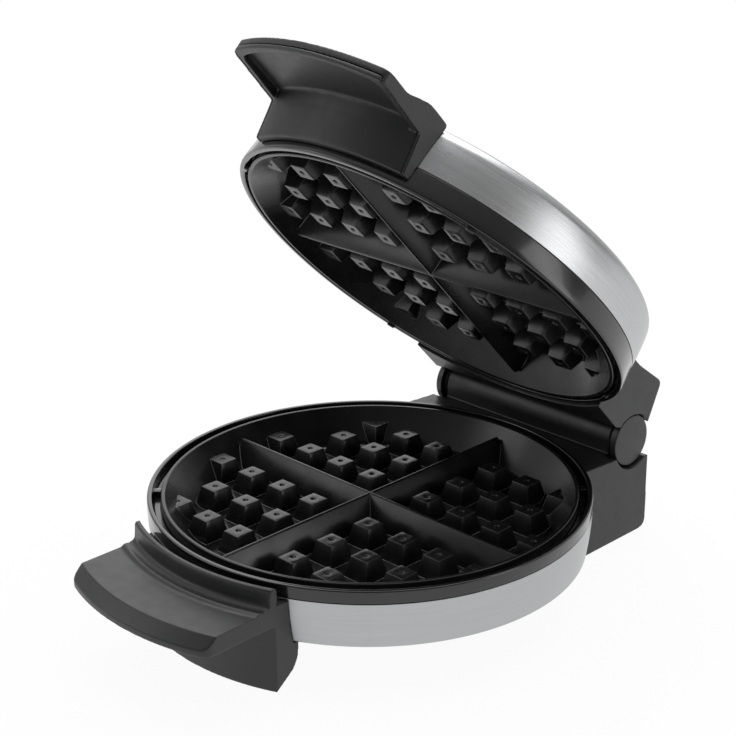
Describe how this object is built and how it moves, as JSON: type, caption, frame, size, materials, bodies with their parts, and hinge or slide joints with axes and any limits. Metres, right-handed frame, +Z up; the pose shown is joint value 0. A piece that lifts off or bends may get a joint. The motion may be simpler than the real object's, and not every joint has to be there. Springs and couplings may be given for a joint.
{
  "type": "belgian waffle maker",
  "caption": "Round countertop waffle maker with two deep grid plates, a steel-banded base on a leg and rear housing, and a hinged steel lid with a hooded handle.",
  "frame": {"origin": "middle of the bounding box's footprint, on the table surface", "axes": "+Z up, +Y from the front handle towards the rear hinge, +X to the right seen from the front; the lid hinge runs along X"},
  "size_m": [0.1972, 0.2756, 0.2489],
  "materials": {
    "band_steel": "brushed along the band",
    "lid_steel": "brushed round the lid",
    "bezel_plastic": "moulded, semi-gloss",
    "handle_plastic": "moulded, fine matte grain",
    "housing_plastic": "moulded, fine matte grain",
    "nonstick": "cast aluminium with a black non-stick coat",
    "element_sheath": "heat-browned tube",
    "bright_sheet": "bright rolled sheet",
    "fastener_steel": "zinc plated",
    "foot_rubber": "moulded",
    "ceramic": "glazed ceramic",
    "lead_sleeve": "woven glass sleeve",
    "lens_red": "clear red"
  },
  "bodies": {
    "base": {"base_band": "band_steel", "base_bezel": "bezel_plastic", "base_pan": "housing_plastic", "lower_plate": "nonstick", "lower_reflector": "bright_sheet", "lower_element": "element_sheath", "thermostat": "ceramic", "thermal_fuse": "fastener_steel", "terminal_block": "ceramic", "thermostat_lead": "lead_sleeve", "fuse_lead": "lead_sleeve", "lower_handle": "handle_plastic", "front_foot_left": "foot_rubber", "front_foot_right": "foot_rubber", "lower_handle_screw_left": "fastener_steel", "lower_handle_screw_right": "fastener_steel", "pan_screw_1": "fastener_steel", "pan_screw_2": "fastener_steel", "pan_screw_3": "fastener_steel", "pan_screw_4": "fastener_steel", "rear_housing": "housing_plastic", "housing_screw_left": "fastener_steel", "housing_screw_right": "fastener_steel", "rear_foot_left": "foot_rubber", "rear_foot_right": "foot_rubber", "cord_gland": "foot_rubber", "hinge_pin": "fastener_steel", "hinge_cap_left": "handle_plastic", "hinge_cap_right": "handle_plastic"},
    "lid": {"lid_bezel": "bezel_plastic", "lid_shell": "lid_steel", "upper_plate": "nonstick", "upper_element": "element_sheath", "upper_reflector": "bright_sheet", "reflector_screw_1": "fastener_steel", "reflector_screw_2": "fastener_steel", "reflector_screw_3": "fastener_steel", "reflector_screw_4": "fastener_steel", "lid_handle": "handle_plastic", "lid_handle_liner": "handle_plastic", "lid_handle_screw_left": "fastener_steel", "lid_handle_screw_right": "fastener_steel", "lid_bracket": "handle_plastic", "bracket_screw_left": "fastener_steel", "bracket_screw_right": "fastener_steel", "indicator_lens": "lens_red"}
  },
  "joints": [
    {"name": "lid_hinge", "type": "hinge", "parent": "base", "child": "lid", "pos_m": [0, 0.11718, 0.0487], "axis": [1, 0, 0], "range_deg": [-48, 46.8]}
  ]
}
